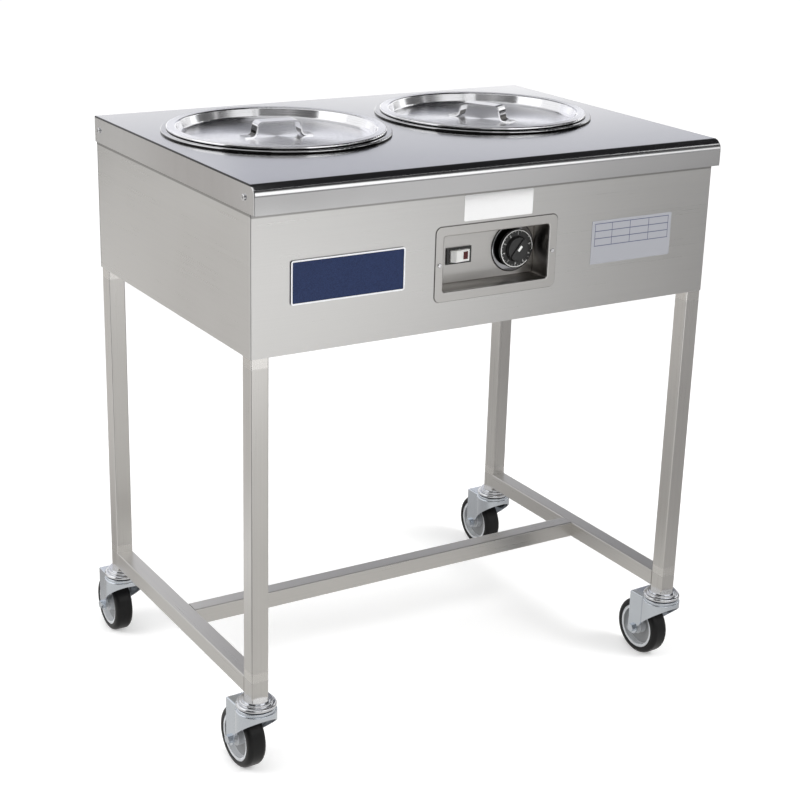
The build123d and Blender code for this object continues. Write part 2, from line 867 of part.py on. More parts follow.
def cord_gland():
    """The gland on the rear panel: flange, thread and dome, with a lock nut inside the cabinet."""
    place = facing(gland_x, rear_y, gland_z, (0, 1, 0))
    inside = -sheet - gland_nut - gland_inside
    flange = extrude(RegularPolygon(gland_flange_radius, 6), gland_flange)
    dome = rod(gland_dome_radius, gland_flange, gland_flange + gland_dome)
    dome = fillet(dome.edges().group_by(Axis.Z)[-1], gland_dome_round)
    body = flange + dome + rod(gland_thread_radius, inside, 0)
    body -= rod(gland_bore / 2, inside - overrun, gland_flange + gland_dome + overrun)
    nut = Plane.XY.offset(-sheet) * RegularPolygon(gland_flange_radius, 6)
    nut = extrude(nut, -gland_nut) - rod(gland_thread_radius + gland_gap, -sheet - gland_nut, -sheet)
    return Compound(children=[place * body, place * nut])


def square_tube(length):
    """A length of square tube along +Z from the origin."""
    inner = leg_tube - 2 * leg_wall
    section = RectangleRounded(leg_tube, leg_tube, tube_radius)
    section -= Rectangle(inner, inner)
    return extrude(section, length)


def leg(corner):
    """A leg from the caster up to the underside of the deck, inside the wrapper's corner."""
    x, y = corners[corner]
    tube = Pos(x, y, leg_bottom) * square_tube(deck_under - leg_bottom)
    return tube - screw_holes(deck_screw_places())


def side_stretcher(x):
    """The tube between the front and rear legs of one side."""
    length = leg_rear_y - leg_front_y - leg_tube
    z = leg_bottom + stretcher_rise + leg_tube / 2
    start = Plane((x, leg_front_y + leg_tube / 2, z), x_dir=(1, 0, 0), z_dir=(0, 1, 0))
    return start.location * square_tube(length)


def cross_stretcher():
    """The tube between the two side stretchers."""
    length = 2 * leg_x - leg_tube
    z = leg_bottom + stretcher_rise + leg_tube / 2
    y = (leg_front_y + leg_rear_y) / 2
    start = Plane((-length / 2, y, z), x_dir=(0, 1, 0), z_dir=(1, 0, 0))
    return start.location * square_tube(length)


def stem_sockets():
    """The four plugs in the leg ends, each bored for a caster's stem."""
    side = leg_tube - 2 * leg_wall - 2 * socket_gap
    plug = extrude(Rectangle(side, side), socket_length)
    plug -= rod(stem_radius + running_gap, -overrun, socket_length + overrun)
    return Compound(children=[Pos(x, y, leg_bottom) * plug for x, y in corners.values()])


def caster_stem():
    """The fixed top of a caster: stem, collar, upper race, and the kingpin with its head."""
    cap_radius = fork_head_radius - race_overlap / 2
    collar_radius = leg_tube / sqrt(2) + collar_margin
    cap = rod(cap_radius, cap_bottom, cap_top)
    cap = fillet(cap.edges().group_by(Axis.Z)[-1], race_cap_round)
    step = rod(collar_radius + race_step_margin, cap_top, step_top)
    step = fillet(step.edges().group_by(Axis.Z)[-1], race_step_round)
    collar = rod(collar_radius, step_top, leg_bottom)
    head_top = crown_bottom - thrust_gap
    kingpin = rod(kingpin_radius, head_top, cap_bottom)
    head = rod(kingpin_head_radius, head_top - kingpin_head, head_top)
    stem = rod(stem_radius, leg_bottom, leg_bottom + socket_length)
    return cap + step + collar + kingpin + head + stem


def caster_fork():
    """The swivelling fork: a round head that narrows to two plates beside the wheel."""
    half = wheel_width / 2 + fork_side_gap + fork_plate
    rear = caster_trail + fork_rear

    def plan(inset):
        tail = Pos(0, (rear + inset) / 2) * Rectangle(2 * (half - inset), rear + inset)
        outline = Circle(fork_head_radius - inset) + tail
        waist = [v for v in outline.vertices() if overrun < v.Y < rear - overrun and abs(v.X) > overrun]
        return fillet(waist, fork_crease_radius)

    axle_z = wheel_radius
    front = -fork_head_radius - overrun
    eye_front = caster_trail - fork_rear
    eye_top = axle_z + fork_eye_rise
    skirt_front = crown_top - fork_skirt
    skirt_middle = (fork_arch_y, crown_top - fork_arch_drop)
    profile = [
        Line((front, crown_top), (rear, crown_top)),
        Line((rear, crown_top), (rear, axle_z)),
        ThreePointArc((rear, axle_z), (caster_trail, axle_z - fork_rear), (eye_front, axle_z)),
        Line((eye_front, axle_z), (eye_front, eye_top)),
        ThreePointArc((eye_front, eye_top), skirt_middle, (front, skirt_front)),
        Line((front, skirt_front), (front, crown_top)),
    ]
    side = extrude(Plane.YZ * make_face(Curve() + profile), fork_head_radius + overrun, both=True)
    shell = extrude(plan(0), crown_top)
    shell = fillet(shell.edges().group_by(Axis.Z)[-1], fork_plate)
    fork = shell & side
    fork -= extrude(plan(fork_plate), crown_bottom)
    fork -= block(-half + fork_plate, half - fork_plate, 0, rear + overrun, 0, crown_bottom)
    race = rod(fork_head_radius - race_overlap, crown_top - fork_plate / 2, race_top)
    fork += fillet(race.edges().group_by(Axis.Z)[-1], race_round)
    fork -= rod(kingpin_radius + running_gap, crown_bottom - overrun, race_top + overrun)
    return fork - on_axle(rod(axle_radius + running_gap, -half - overrun, half + overrun))


def on_axle(shape):
    """A shape on the wheel's axle; its +Z points to the right."""
    return Plane((0, caster_trail, wheel_radius), x_dir=(0, 1, 0), z_dir=(1, 0, 0)).location * shape


def caster_axle():
    """The axle bolt and its nut, outside the fork's plates."""
    half = wheel_width / 2 + fork_side_gap + fork_plate
    head = extrude(Plane.XY.offset(-half) * RegularPolygon(axle_head_radius, 6), -axle_head)
    shank = rod(axle_radius, -half, half + axle_head)
    nut = extrude(Plane.XY.offset(half) * RegularPolygon(axle_head_radius, 6), axle_head)
    nut -= rod(axle_radius + running_gap, half - overrun, half + axle_head + overrun)
    return Compound(children=[on_axle(head + shank), on_axle(nut)])


def caster_hub():
    """The wheel's hub: a rim, a sunk web and a boss that runs on the axle."""
    half = wheel_width / 2 - hub_rim_inset
    rim = wheel_radius - tyre_thickness
    boss_half = wheel_width / 2 + fork_side_gap - thrust_gap
    hub = ring(rim, rim - hub_rim_depth, -half, half)
    hub += rod(rim - hub_rim_depth / 2, -hub_web / 2, hub_web / 2)
    hub += rod(hub_boss_radius, -half, half) + rod(hub_spacer_radius, -boss_half, boss_half)
    return on_axle(hub - rod(axle_radius + running_gap, -boss_half - overrun, boss_half + overrun))


def caster_tyre():
    """The tyre, with rounded shoulders."""
    half = wheel_width / 2
    inner = wheel_radius - tyre_thickness + running_gap
    tyre = ring(wheel_radius, inner, -half, half)
    shoulders = [e for e in tyre.edges().filter_by(GeomType.CIRCLE) if e.radius > inner + overrun]
    return on_axle(fillet(shoulders, tyre_edge_radius))


def build_nodes():
    """Every piece of the station by its name, in its place."""
    nodes = {
        "top_deck": top_deck(),
        "deck_screws": Compound(children=[place * screw() for place in deck_screw_places()]),
        "cabinet_wrapper": cabinet_wrapper(),
        "rear_panel": rear_panel(),
        "rear_panel_screws": Compound(children=[place * screw() for place in rear_screw_places()]),
        "bottom_pan": bottom_pan(),
        "water_tank": water_tank(),
        "heating_element": heating_element(),
        "element_clamps": element_clamps(),
        "pot_left": inset_pot(well_left_x),
        "pot_right": inset_pot(well_right_x),
        "lid_left": pot_lid(well_left_x),
        "lid_right": pot_lid(well_right_x),
        "lid_handle_left": lid_handle(well_left_x, lid_turn_left),
        "lid_handle_right": lid_handle(well_right_x, lid_turn_right),
        "control_pan": control_pan(),
        "control_pan_screws": Compound(
            children=[place * screw(small_screw_scale) for place in control_screw_places()]
        ),
        "switch_body": switch_body(),
        "switch_rocker": switch_rocker(),
        "switch_lens": switch_lens(),
        "thermostat_body": thermostat_body(),
        "thermostat_shaft": thermostat_shaft(),
        "dial_plate": dial_ring(),
        "dial_knob": dial_knob(),
        "thermostat_bulb": thermostat_bulb(),
        "bulb_clips": bulb_clips(),
        "terminal_block": terminal_block(),
        "wiring_leads": wiring_leads(),
        "cord_gland": cord_gland(),
        "name_plate": plate_on_front(
            name_plate_size, plate_from_side - half_width, deck_top - plate_drop, name_plate_radius
        ),
        "rating_plate": plate_on_front(
            rating_plate_size, half_width - plate_from_side, deck_top - plate_drop, film_radius
        ),
        "notice_plate": plate_on_front(notice_plate_size, 0, deck_top - notice_drop, film_radius),
        "stretcher_left": side_stretcher(-leg_x),
        "stretcher_right": side_stretcher(leg_x),
        "stretcher_cross": cross_stretcher(),
        "stem_sockets": stem_sockets(),
    }
    caster = {
        "stem": caster_stem(),
        "fork": caster_fork(),
        "axle": caster_axle(),
        "hub": caster_hub(),
        "tyre": caster_tyre(),
    }
    for corner, (x, y) in corners.items():
        nodes[f"leg_{corner}"] = leg(corner)
        for piece, shape in caster.items():
            nodes[f"caster_{piece}_{corner}"] = Pos(x, y, 0) * Rot(0, 0, caster_turn[corner]) * shape
    return nodes


os.makedirs("parts", exist_ok=True)
for name, shape in build_nodes().items():
    export_step(shape, f"parts/{name}.step")
print("cabinet", cabinet_width, "x", cabinet_depth, "deck at", deck_top, "front at", front_y)
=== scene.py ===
# %% [markdown]
# Hot icing station: a stainless cabinet with a warm water bath, in which two covered pots of icing
# hang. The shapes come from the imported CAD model, which is loaded first and stays where it is.
# This lesson gives each piece its finish, adds the marks and trim that are too thin for CAD, and
# lights it all.

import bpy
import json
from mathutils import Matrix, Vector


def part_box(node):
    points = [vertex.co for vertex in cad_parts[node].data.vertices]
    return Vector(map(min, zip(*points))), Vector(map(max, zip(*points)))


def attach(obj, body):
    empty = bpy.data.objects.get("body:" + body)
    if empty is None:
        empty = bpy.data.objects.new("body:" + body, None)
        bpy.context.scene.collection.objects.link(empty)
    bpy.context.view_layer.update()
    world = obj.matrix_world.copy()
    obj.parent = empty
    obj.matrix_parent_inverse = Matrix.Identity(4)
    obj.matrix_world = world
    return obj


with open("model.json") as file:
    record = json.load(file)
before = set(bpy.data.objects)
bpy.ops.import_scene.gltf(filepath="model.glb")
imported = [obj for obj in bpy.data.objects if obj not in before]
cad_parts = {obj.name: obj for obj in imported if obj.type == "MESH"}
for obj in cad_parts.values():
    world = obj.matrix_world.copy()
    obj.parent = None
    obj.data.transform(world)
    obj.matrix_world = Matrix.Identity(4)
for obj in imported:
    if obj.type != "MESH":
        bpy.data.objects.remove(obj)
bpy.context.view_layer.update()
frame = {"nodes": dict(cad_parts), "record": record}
nodes = frame["nodes"]

# %% [markdown]
# The rest of the lesson uses Blender's mesh tools and a little vector maths. One helper makes an
# object from a bmesh, so that every new piece is named and linked in the same way. Two others
# read a CAD node's box, because a finish often has to know where its piece is.

# %% Tools
import json
import math

import bmesh
import bpy
from mathutils import Matrix, Vector

scene = bpy.context.scene


def linked(name, data):
    """An object in the scene, at the origin."""
    made = bpy.data.objects.new(name, data)
    scene.collection.objects.link(made)
    return made


def piece_from(name, mesh_tool, smooth=True):
    """An object from a bmesh, whose place is in its vertices."""
    mesh = bpy.data.meshes.new(name)
    for face in mesh_tool.faces:
        face.smooth = smooth
    mesh_tool.to_mesh(mesh)
    mesh_tool.free()
    return linked(name, mesh)


def middle_of(box, axes):
    """The middle of a box along the named axes."""
    low, high = box
    return tuple((getattr(low, axis) + getattr(high, axis)) / 2 for axis in axes)


def size_of(box, axes):
    """The size of a box along the named axes."""
    low, high = box
    return tuple(getattr(high, axis) - getattr(low, axis) for axis in axes)


print("scene", scene.name)

# %% [markdown]
# The camera stands where the photographer's stood: in front, well to the left, a little above the
# deck. Its place was solved from the cabinet's edges, with the casters taken as four inch wheels.
# The camera was tilted a little, so the last matrix rolls it about its own line of sight.

# %% Camera
photo_pixels = 800
focal_pixels = 1702.3
sensor_mm = 36.0
camera_place = Vector((-1.4469, -2.3832, 1.4600))
camera_azimuth = math.radians(-31.75)
camera_height = math.radians(19.61)
camera_roll = math.radians(1.63)

camera_data = bpy.data.cameras.new("camera")
camera_data.sensor_width = sensor_mm
camera_data.lens = focal_pixels * sensor_mm / photo_pixels
camera = linked("camera", camera_data)
back = Vector((
    math.sin(camera_azimuth) * math.cos(camera_height),
    -math.cos(camera_azimuth) * math.cos(camera_height),
    math.sin(camera_height),
))
aim = (-back).to_track_quat("-Z", "Y").to_matrix().to_4x4()
roll = Matrix.Rotation(camera_roll, 4, "Z")
camera.matrix_world = Matrix.Translation(camera_place) @ aim @ roll
scene.camera = camera
print("lens", round(camera_data.lens, 1), "mm")

# %% [markdown]
# Finishes are built from shader nodes. Writing each Math node by hand hides the idea behind the
# wiring, so a small class wraps a node's output and lets Python's own operators add the Math
# nodes. Every other node comes from one method that sets the node's options first and then its
# sockets. The world has a node tree too, so that method is kept apart from what a material needs.

# %% Shader maths as expressions
class Wire:
    """One output of a shader node, with the operators that a finish needs."""

    def __init__(self, wiring, socket):
        self.wiring = wiring
        self.socket = socket

    def math(self, operation, *values):
        settings = {"operation": operation}
        return self.wiring.node("ShaderNodeMath", settings, dict(enumerate(values)))

    def __add__(self, other):
        return self.math("ADD", self, other)

    def __sub__(self, other):
        return self.math("SUBTRACT", self, other)

    def __rsub__(self, other):
        return self.math("SUBTRACT", other, self)

    def __mul__(self, other):
        return self.math("MULTIPLY", self, other)

    def __truediv__(self, other):
        return self.math("DIVIDE", self, other)

    def __abs__(self):
        return self.math("ABSOLUTE", self)

    def __pow__(self, other):
        return self.math("POWER", self, other)

    __radd__ = __add__
    __rmul__ = __mul__

    def larger(self, other):
        return self.math("MAXIMUM", self, other)

    def sine(self):
        return self.math("SINE", self)

    def rise(self, low, high):
        """0 below low, 1 above high, and a smooth rise between them."""
        settings = {"interpolation_type": "SMOOTHSTEP"}
        sockets = {0: self, 1: low, 2: high, 3: 0.0, 4: 1.0}
        return self.wiring.node("ShaderNodeMapRange", settings, sockets)

    def band(self, low, high, soft):
        """1 between low and high, with soft edges."""
        return self.rise(low - soft, low) * (1 - self.rise(high, high + soft))

    def line(self, place, inner, outer):
        """1 at place, falling to 0 between inner and outer on both sides of it."""
        return 1 - abs(self - place).rise(inner, outer)


class Wiring:
    """A node tree to which expressions add their nodes."""

    def __init__(self, tree):
        self.tree = tree

    def node(self, kind, settings=None, sockets=None, output=0):
        """One output of a new node, whose options are set first and then its sockets."""
        made = self.tree.nodes.new(kind)
        for name, value in (settings or {}).items():
            setattr(made, name, value)
        self.feed(made, sockets or {})
        return Wire(self, made.outputs[output])

    def feed(self, made, sockets):
        """Links a node's sockets to wires, and sets them to plain values."""
        for key, value in sockets.items():
            if isinstance(value, Wire):
                self.tree.links.new(value.socket, made.inputs[key])
            else:
                made.inputs[key].default_value = value

    def seen_by(self, *kinds):
        """1 for rays of these kinds, such as Camera, and 0 for all others."""
        path = self.node("ShaderNodeLightPath").socket.node
        seen, *others = (Wire(self, path.outputs[f"Is {kind} Ray"]) for kind in kinds)
        for other in others:
            seen = seen.larger(other)
        return seen


print("wiring ready")

# %% [markdown]
# A finish is a material whose colour, gloss and bumps are such expressions. They start from the
# position on the piece, in Object coordinates, so a pattern stays where it is when the piece moves.

# %% Finishes
def rgb(red, green, blue):
    return (red, green, blue, 1.0)


def grey(value):
    return rgb(value, value, value)


class Finish(Wiring):
    """A material whose Principled shader is fed by expressions."""

    def __init__(self, name):
        self.material = bpy.data.materials.new(name)
        self.material.use_nodes = True
        super().__init__(self.material.node_tree)
        self.shader = self.tree.nodes["Principled BSDF"]
        self.place = self.node("ShaderNodeTexCoord", output="Object")
        split = self.node("ShaderNodeSeparateXYZ", sockets={0: self.place}).socket.node
        self.x, self.y, self.z = (Wire(self, split.outputs[i]) for i in range(3))

    def surface(self, **sockets):
        """Sets or links the shader's sockets; an underscore in a name stands for a space."""
        self.feed(self.shader, {key.replace("_", " "): value for key, value in sockets.items()})

    def noise(self, scale, detail, stretch=(1, 1, 1)):
        """Noise from 0 to 1; a small number in stretch draws it out to lines along that axis."""
        moved = self.node("ShaderNodeMapping", sockets={"Vector": self.place, "Scale": stretch})
        sockets = {"Vector": moved, "Scale": scale, "Detail": detail}
        return self.node("ShaderNodeTexNoise", sockets=sockets)

    def mix(self, share, first, second):
        """A colour between two colours."""
        sockets = {0: share, 6: first, 7: second}
        return self.node("ShaderNodeMix", {"data_type": "RGBA"}, sockets, output=2)

    def steps(self, colour, *changes):
        """A colour that is changed in turn; each change is a share and the colour it brings."""
        for share, brought in changes:
            colour = self.mix(share, colour, brought)
        return colour

    def bump(self, height, depth, strength):
        """A normal from a height between 0 and 1, worth depth in metres."""
        sockets = {"Height": height, "Distance": depth, "Strength": strength}
        return self.node("ShaderNodeBump", sockets=sockets)

    def from_axis(self, first, second, centre):
        """The distance from a line that runs through centre, seen along it."""
        across = first - centre[0]
        along = second - centre[1]
        return (across * across + along * along) ** 0.5

    def from_outline(self, centre, width, height, radius):
        """The distance outside a rounded rectangle that faces the front; negative inside."""
        across = (abs(self.x - centre[0]) - (width / 2 - radius)).larger(0.0)
        up = (abs(self.z - centre[1]) - (height / 2 - radius)).larger(0.0)
        return (across * across + up * up) ** 0.5 - radius


print("finishes ready")

# %% [markdown]
# The studio is a pale floor under a white world. The world is white to the camera and to
# reflections, and weaker as a light, so that a painted colour comes out about as it is written.
# The floor glows a little in the same way: it looks white, and still keeps the station's soft
# shadow.

# %% Floor and world
floor_size = 40.0
glow_near, glow_far = 0.34, 0.62
glow_reach = (1.5, 4.5)
sky_light = 0.5
shown_to = ("Camera", "Glossy", "Transmission")

floor_tool = bmesh.new()
bmesh.ops.create_grid(floor_tool, x_segments=1, y_segments=1, size=floor_size / 2)
floor = piece_from("floor", floor_tool, smooth=False)

floor_paint = Finish("floor_paint")
distance = floor_paint.from_axis(floor_paint.x, floor_paint.y, (0, 0))
glow = glow_near + distance.rise(*glow_reach) * (glow_far - glow_near)
glow = floor_paint.seen_by(*shown_to) * glow
floor_paint.surface(
    Base_Color=grey(0.80),
    Roughness=0.9,
    Specular_IOR_Level=0.0,
    Emission_Color=floor_paint.mix(glow, grey(0), grey(1)),
    Emission_Strength=1.0,
)
floor.data.materials.append(floor_paint.material)

world = bpy.data.worlds.new("studio")
scene.world = world
world.use_nodes = True
sky = Wiring(world.node_tree)
strength = sky_light + sky.seen_by(*shown_to) * (1 - sky_light)
sky.feed(sky.tree.nodes["Background"], {"Color": grey(1), "Strength": strength})
scene.view_settings.view_transform = "Standard"
print("floor", floor_size, "m, world light", sky_light)

# %% [markdown]
# Three soft lamps light the station from the right, the left and above. They stay out of the
# reflections, because polished steel would show them as hard rectangles.

# %% Lamps
lamp_target = Vector((0.0, 0.0, 0.6))


def soft_box(name, place, width, height, power):
    """A rectangular lamp that looks at the station."""
    light = bpy.data.lights.new(name, "AREA")
    light.shape = "RECTANGLE"
    light.size, light.size_y = width, height
    light.energy = power
    made = linked(name, light)
    direction = lamp_target - Vector(place)
    turned = direction.to_track_quat("-Z", "Y").to_matrix().to_4x4()
    made.matrix_world = Matrix.Translation(place) @ turned
    made.visible_glossy = False


soft_box("key_box", (1.9, -2.3, 2.7), 1.5, 1.5, 75)
soft_box("left_box", (-3.0, 0.4, 1.9), 1.8, 2.2, 60)
soft_box("top_box", (-0.6, -0.4, 3.4), 2.0, 2.0, 40)

# %% [markdown]
# Polished steel is a mirror, so what it shows is the studio. A photographer shapes that with
# cards: the black line on the deck's rolled edge is a dark card overhead, the white line under it
# is a bright one in front, and the grey of the deck is the wall behind. Only reflections see these
# cards, so they cast no shadow and hide nothing. A card's colour can change over it, by the
# position in metres.

# %% Shades of the cards
def plain(value):
    """The same grey all over a card."""
    return lambda paint: grey(value)


def wall_shade(paint):
    """Pale, a bright strip, blue grey, then black on top; dark low and pale high on the left."""
    x, z = paint.x, paint.z
    level = z - x.rise(1.2, 3.2) * 0.13
    low_corner = (1 - x.rise(-1.0, -0.7)) * (1 - level.rise(1.0, 1.1))
    left_panel = (1 - x.rise(1.3, 1.55)) * z.rise(1.85, 2.0)
    return paint.steps(
        grey(0.90),
        (level.rise(1.20, 1.30), grey(1.5)),
        (low_corner, grey(0.03)),
        (level.rise(1.42, 1.54), rgb(0.98, 0.98, 1.00)),
        (level.rise(1.50, 1.86), rgb(0.56, 0.57, 0.64)),
        (z.rise(1.95, 2.6), rgb(0.20, 0.20, 0.215)),
        (left_panel, rgb(0.98, 0.98, 1.02)),
        (z.rise(2.6, 4.2), rgb(0.015, 0.015, 0.018)),
    )


def overhead_shade(paint):
    """Grey on the left and black on the right."""
    return paint.mix(paint.x.rise(0.3, 0.65), rgb(0.55, 0.55, 0.56), rgb(0.01, 0.01, 0.012))


def key_shade(paint):
    """Bright below and black above; the border sinks towards the right."""
    level = paint.z + paint.x.rise(0.9, 2.3) * 0.7
    return paint.steps(
        grey(1.6),
        (paint.x.rise(1.4, 2.4), grey(1.2)),
        (level.rise(2.20, 2.45), grey(0.20)),
        (level.rise(2.5, 3.6), rgb(0.02, 0.02, 0.022)),
    )


print("shades", [shade.__name__ for shade in (wall_shade, overhead_shade, key_shade)])

# %% [markdown]
# The floor matters most, because the cabinet's front, its sides and the legs all mirror it. Its
# card is put together from regions: the ground near the station, a bright sweep in front of it
# that gives way to grey, a warm region behind on the left, and two wedges on the left.

# %% Shade of the floor
def floor_shade(paint):
    """Bright in front, darker to the right, warm behind; a dark and a white wedge on the left."""
    x, y = paint.x, paint.y
    out = paint.from_axis(x, y, (0, 0))
    under = (1 - out.rise(0.35, 0.9)) * y.rise(0.0, 0.2) * x.rise(-0.5, -0.35)
    near = paint.steps(
        rgb(0.70, 0.69, 0.67),
        (x.rise(0.0, 1.2), rgb(0.37, 0.36, 0.355)),
        (under, rgb(0.44, 0.43, 0.42)),
    )
    bright = paint.mix(x.rise(0.7, 2.75), grey(1.75), rgb(0.12, 0.118, 0.115))
    beyond = paint.steps(
        rgb(0.62, 0.615, 0.61),
        (x.rise(1.4, 2.2), rgb(0.71, 0.705, 0.70)),
        (x.rise(2.6, 3.8), rgb(0.45, 0.445, 0.44)),
    )
    sweep = paint.mix(y.rise(-3.6, -3.35), beyond, bright)
    slanted = ((x + 1.77) * 0.91 + (y - 2.81) * 0.414).line(0.0, 0.03, 0.30)
    warm = paint.steps(
        rgb(0.66, 0.645, 0.62),
        (x.rise(-2.3, -1.4), rgb(0.80, 0.785, 0.76)),
        (x.rise(-1.3, -0.9), rgb(0.94, 0.93, 0.91)),
        (x.rise(-0.75, -0.55), rgb(0.46, 0.45, 0.44)),
        (slanted * 0.75, rgb(0.40, 0.37, 0.35)),
    )
    turn = x.math("ARCTAN2", 0 - x, 0 - y)
    away = out.rise(0.7, 1.0)
    return paint.steps(
        near,
        (1 - y.rise(-2.3, -1.75), sweep),
        (turn.rise(2.15, 2.35), warm),
        (turn.band(0.78, 1.40, 0.1) * away, grey(0.22)),
        (turn.band(1.62, 2.10, 0.08) * away, grey(1.1)),
    )


print("shade", floor_shade.__name__)

# %% [markdown]
# The cards then only need their places. An upright card runs between two points on the floor, from
# one height to another, and a level one lies at a height.

# %% Cards
def card(name, corners, shade):
    """A glowing sheet that only reflections see."""
    tool = bmesh.new()
    bmesh.ops.contextual_create(tool, geom=[tool.verts.new(corner) for corner in corners])
    made = piece_from(name, tool, smooth=False)
    paint = Finish(name)
    paint.surface(
        Base_Color=grey(0),
        Emission_Color=shade(paint),
        Emission_Strength=1.0,
        Roughness=1.0,
    )
    made.data.materials.append(paint.material)
    made.visible_camera = made.visible_diffuse = False
    made.visible_shadow = made.visible_transmission = False


def upright(x0, y0, x1, y1, low, high):
    return [(x0, y0, low), (x1, y1, low), (x1, y1, high), (x0, y0, high)]


def level_sheet(x0, x1, y0, y1, z):
    return [(x0, y0, z), (x1, y0, z), (x1, y1, z), (x0, y1, z)]


card("floor_card", level_sheet(-6.0, 6.0, -7.0, 7.0, 0.004), floor_shade)
card("back_card", upright(-1.6, 3.6, 5.5, 3.6, 0.0, 5.0), wall_shade)
card("overhead_card", level_sheet(-1.4, 3.6, -1.6, 3.5, 3.1), overhead_shade)
card("key_card", upright(-0.1, -2.5, 3.2, -2.5, 1.0, 4.4), key_shade)
card("wing_card", upright(3.25, -2.5, 3.25, -0.25, 1.1, 2.8), plain(0.10))
card("left_card", upright(-3.0, -0.4, -3.0, 1.7, 1.25, 3.0), plain(1.5))
card("right_card", upright(3.2, -0.1, 3.2, 0.45, 1.2, 3.0), plain(1.5))
card("low_right_card", upright(3.3, -1.0, 3.3, 1.2, 0.30, 1.18), plain(0.03))
card("camera_card", upright(-3.0, -4.6, 5.0, -4.6, 0.2, 2.7), plain(0.4))
card("lid_card", upright(-1.4, -1.0, -0.25, -1.0, 1.30, 2.0), plain(0.05))
card("camera_side_card", upright(-3.05, -4.6, -3.05, -0.42, 0.2, 3.8), plain(0.04))

# %% [markdown]
# Most of the station is stainless sheet with a brushed grain. The grain is a noise stretched along
# the brushing, so it makes long fine lines that change the roughness and the normal a little. A
# soft large noise stands for the slight clouding that handling leaves. Anisotropy blurs a
# reflection across the grain. Where the legs are welded, they are ground to a brighter band.

# %% Brushed and polished steel
line_roughness = 0.16
weld_brightness = 1.16
weld_smoothing = 0.05
weld_soft = 0.0012


def scaled(colour, factor):
    return rgb(*(c * factor for c in colour))


def steel(
    name, colour, rough, grain, anisotropy=0.0, grain_depth=0.00002, cloud=0.05, tint=0.04, welds=()
):
    """Stainless steel; grain stretches its lines, and it is ground between each pair in welds."""
    finish = Finish(name)
    coarse = finish.noise(1.0, 3.0, grain)
    fine = finish.noise(5.0, 2.0, grain)
    lines = coarse * 0.5 + fine * 0.5
    clouds = finish.noise(7.0, 3.0)
    darker, lighter = scaled(colour, 1 - 2 * tint), scaled(colour, 1 + 2 * tint)
    paint = finish.mix(lines * 0.7 + clouds * 0.3, darker, lighter)
    roughness = rough + (lines - 0.5) * line_roughness + (clouds - 0.5) * cloud
    for low, high in welds:
        ground = finish.z.band(low, high, weld_soft)
        share = ground * (0.4 + clouds * 0.5)
        paint = finish.mix(share, paint, scaled(colour, weld_brightness))
        roughness = roughness - ground * weld_smoothing
    finish.base = paint
    finish.surface(
        Base_Color=paint,
        Metallic=1.0,
        Roughness=roughness,
        Normal=finish.bump(lines, grain_depth, 0.6),
        Anisotropic=anisotropy,
        Anisotropic_Rotation=0.25,
    )
    return finish


print("steel ready")

# %% [markdown]
# The sheets and tubes are brushed in different directions: along the cabinet's walls, along the
# deck's length, and along each tube.

# %% Steel of the sheets and tubes
across_wall = (1.2, 1.2, 500.0)
across_deck = (1.2, 500.0, 1.2)
up_leg = (500.0, 500.0, 1.2)
along_side = (500.0, 1.2, 500.0)
along_front = (1.2, 500.0, 500.0)
leg_welds = ((0.678, 0.70), (0.172, 0.186), (0.136, 0.144))
tube = {"colour": (0.60, 0.588, 0.57), "rough": 0.30, "tint": 0.07}

cabinet_steel = steel("cabinet_steel", (0.635, 0.63, 0.62), 0.30, across_wall, anisotropy=0.55)
control_steel = steel("control_steel", (0.60, 0.59, 0.575), 0.33, across_wall, anisotropy=0.7)
deck_steel = steel(
    "deck_steel", (0.63, 0.63, 0.635), 0.13, across_deck, grain_depth=0.000006, cloud=0.03
)
leg_steel = steel("leg_steel", grain=up_leg, welds=leg_welds, **tube)
side_tube_steel = steel("side_tube_steel", grain=along_side, **tube)
front_tube_steel = steel("front_tube_steel", grain=along_front, **tube)
print("finishes so far", len(bpy.data.materials))

# %% [markdown]
# Thin lines of shade tell the eye where one sheet meets another. The control pan's inner walls are
# painted dark as shade, and so is the bezel's cut edge. Both are drawn with the distance from a
# rounded rectangle, which is the bezel's own outline, or that of the mouth inside it.

# %% Shade in the control pan
pan_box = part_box("control_pan")
pan_middle = middle_of(pan_box, "xz")
bezel_size = size_of(pan_box, "xz")
bezel_radius = 0.010
bezel_rim = 0.015
mouth_size = [side - 2 * bezel_rim for side in bezel_size]
mouth_radius = 0.004
sheet_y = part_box("cabinet_wrapper")[0].y

behind = control_steel.y.rise(sheet_y + 0.002, sheet_y + 0.004)
mouth = control_steel.from_outline(pan_middle, *mouth_size, mouth_radius)
# The pan's walls and the bezel's cut edge are painted dark as shade.
walls = mouth.rise(-0.0012, -0.0006) * behind
outline = control_steel.from_outline(pan_middle, *bezel_size, bezel_radius)
cut = outline.rise(-0.0008, -0.0003) * (1 - behind)
shaded = control_steel.steps(
    control_steel.base, (walls, rgb(0.255, 0.24, 0.225)), (cut, rgb(0.10, 0.095, 0.09))
)
control_steel.surface(Base_Color=shaded)
print("control pan", [round(v, 4) for v in (*pan_middle, *bezel_size)])

# %% [markdown]
# Shade is painted into the cabinet's colour as a fine dark line along the bezel's upper and left
# edges, and under the deck's turned-down edges. The deck's side folds are painted as thin dark
# lines, a painted reflection in the bend.

# %% Painted shade on the cabinet, and dark folds of the deck
deck_low, deck_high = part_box("top_deck")
side_drop = 0.0022
bezel_shade, deck_shade = 0.75, 0.6
fold_width, fold_depth, fold_soft = 0.0018, 0.0022, 0.0004

